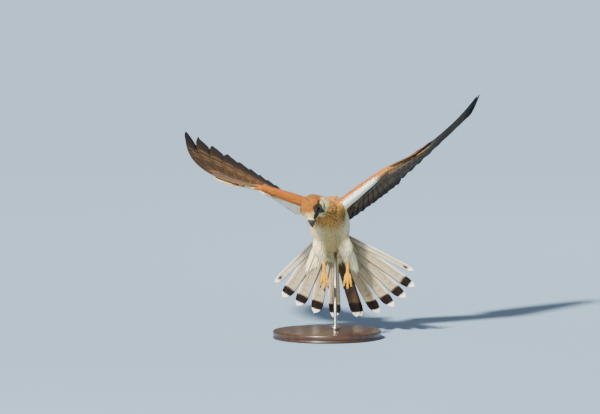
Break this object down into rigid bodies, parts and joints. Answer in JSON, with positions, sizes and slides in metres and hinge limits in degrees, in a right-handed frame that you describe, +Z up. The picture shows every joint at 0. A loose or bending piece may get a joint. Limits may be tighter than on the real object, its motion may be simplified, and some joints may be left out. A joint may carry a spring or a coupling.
{
  "type": "nankeen kestrel",
  "caption": "Life-size hovering falcon with raised swept wings, a fanned banded tail and hanging feet, held over a round base by one rod.",
  "frame": {"origin": "centre of the round base's underside, on the floor", "axes": "+Z up, the bird faces -Y and its left wing is on +X"},
  "size_m": [0.4416, 0.2594, 0.3508],
  "materials": {
    "head_feathers": "small rufous feathers, pale round the bill and cheek",
    "pale_feathers": "soft cream white feathers",
    "wing_feathers": "rufous coverts and dark grey brown flight feathers with a pale lining",
    "tail_feathers": "pale grey brown vanes with a black band and white tips",
    "eye": "wet dark brown",
    "bill_horn": "blue grey horn with a yellow cere",
    "claw_horn": "black horn",
    "leg_skin": "yellow orange scaly skin",
    "stand_wood": "dark satin wood",
    "stand_metal": "satin steel"
  },
  "bodies": {
    "root": {"bill_lower": "bill_horn", "bill_upper": "bill_horn", "claw_left_1": "claw_horn", "claw_left_2": "claw_horn", "claw_left_3": "claw_horn", "claw_left_4": "claw_horn", "claw_right_1": "claw_horn", "claw_right_2": "claw_horn", "claw_right_3": "claw_horn", "claw_right_4": "claw_horn", "eye_left": "eye", "eye_right": "eye", "foot_left": "leg_skin", "foot_right": "leg_skin", "head": "head_feathers", "neck": "head_feathers", "stand_base": "stand_wood", "stand_rod": "stand_metal", "tail": "tail_feathers", "tarsus_left": "leg_skin", "tarsus_right": "leg_skin", "thigh_left": "pale_feathers", "thigh_right": "pale_feathers", "torso": "pale_feathers", "wing_left_arm": "wing_feathers", "wing_left_hand": "wing_feathers", "wing_right_arm": "wing_feathers", "wing_right_hand": "wing_feathers"}
  },
  "joints": []
}
